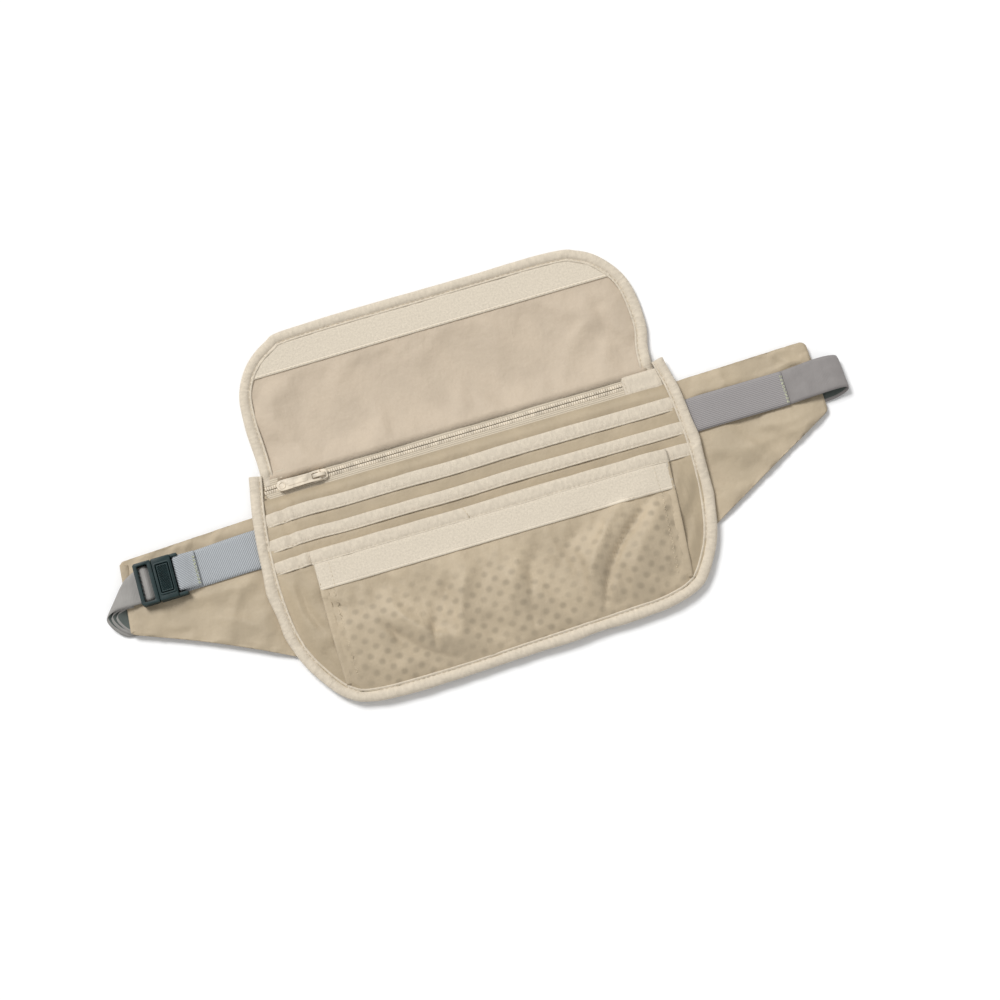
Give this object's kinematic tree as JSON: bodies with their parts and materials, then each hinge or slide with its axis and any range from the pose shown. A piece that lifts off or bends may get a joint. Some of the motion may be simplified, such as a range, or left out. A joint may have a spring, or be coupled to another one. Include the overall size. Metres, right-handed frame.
{
  "type": "money belt",
  "caption": "Flat waist pouch with an open fold-over flap, stacked slip pockets, a zip, cloth side wings, and a webbing belt with a side buckle.",
  "frame": {"origin": "middle of the whole belt's box, on the surface that it lies on", "axes": "+X along the belt towards the elastic side, +Y towards the open flap, +Z out of the pouch's front"},
  "size_m": [0.424, 0.2166, 0.0139],
  "materials": {
    "pouch_fabric": "thin woven nylon, matt with a slight sheen",
    "spacer_mesh": "open knitted mesh against the skin",
    "binding_tape": "folded bias tape, satin",
    "hook_and_loop": "fine hook and loop pile",
    "zip_tape": "woven tape",
    "zip_plastic": "semi-matt",
    "waist_strap": "smooth woven strap",
    "webbing": "twill webbing",
    "elastic": "ribbed woven elastic",
    "buckle_plastic": "satin moulded"
  },
  "bodies": {
    "pouch": {"back_panel": "spacer_mesh", "bill_pocket_binding": "binding_tape", "bill_pocket_panel": "pouch_fabric", "card_pocket_binding": "binding_tape", "card_pocket_panel": "pouch_fabric", "edge_binding": "binding_tape", "front_pocket_binding": "binding_tape", "front_pocket_panel": "pouch_fabric", "hook_strip": "hook_and_loop", "main_front_panel": "pouch_fabric", "slip_pocket_binding": "binding_tape", "slip_pocket_panel": "pouch_fabric", "waist_strap_middle": "waist_strap", "zip_coil_lower": "zip_plastic", "zip_coil_upper": "zip_plastic", "zip_end_tab": "binding_tape", "zip_tape_lower": "zip_tape", "zip_tape_upper": "zip_tape"},
    "flap": {"flap_binding": "binding_tape", "flap_lining": "pouch_fabric", "flap_shell": "pouch_fabric", "loop_strip": "hook_and_loop"},
    "zip_slider": {"zip_slider": "zip_plastic"},
    "zip_pull": {"zip_pull": "zip_plastic"},
    "left_wing": {"buckle_socket": "buckle_plastic", "left_webbing": "webbing", "left_wing_back": "pouch_fabric", "left_wing_front": "pouch_fabric", "waist_strap_left_run": "waist_strap"},
    "release_button": {"release_button": "buckle_plastic"},
    "buckle_tongue": {"buckle_tongue": "buckle_plastic", "waist_strap_left": "waist_strap"},
    "right_wing": {"elastic_band": "elastic", "right_wing_back": "pouch_fabric", "right_wing_front": "pouch_fabric", "waist_strap_right": "waist_strap"}
  },
  "joints": [
    {"name": "flap_fold", "type": "hinge", "parent": "pouch", "child": "flap", "pos_m": [0, 0.02661, 0.0086], "axis": [1, 0, 0], "range_deg": [0, 180]},
    {"name": "zip_run", "type": "slide", "parent": "pouch", "child": "zip_slider", "axis": [1, 0, 0], "range_m": [0, 0.165]},
    {"name": "pull_flip", "type": "hinge", "parent": "zip_slider", "child": "zip_pull", "pos_m": [-0.07921, 0.02161, 0.0063], "axis": [0, 1, 0], "range_deg": [0, 180]},
    {"name": "left_wing_wrap", "type": "hinge", "parent": "pouch", "child": "left_wing", "pos_m": [-0.12351, -0.00839, 0], "axis": [0, -1, 0], "range_deg": [0, 80]},
    {"name": "right_wing_wrap", "type": "hinge", "parent": "pouch", "child": "right_wing", "pos_m": [0.12709, -0.00839, 0], "axis": [0, 1, 0], "range_deg": [0, 80]},
    {"name": "buckle_release", "type": "slide", "parent": "left_wing", "child": "buckle_tongue", "axis": [-1, 0, 0], "range_m": [0, 0.02]},
    {"name": "button_press", "type": "slide", "parent": "left_wing", "child": "release_button", "axis": [0, 0, -1], "range_m": [0, 0.0009], "stiffness_N_per_m": 400}
  ]
}
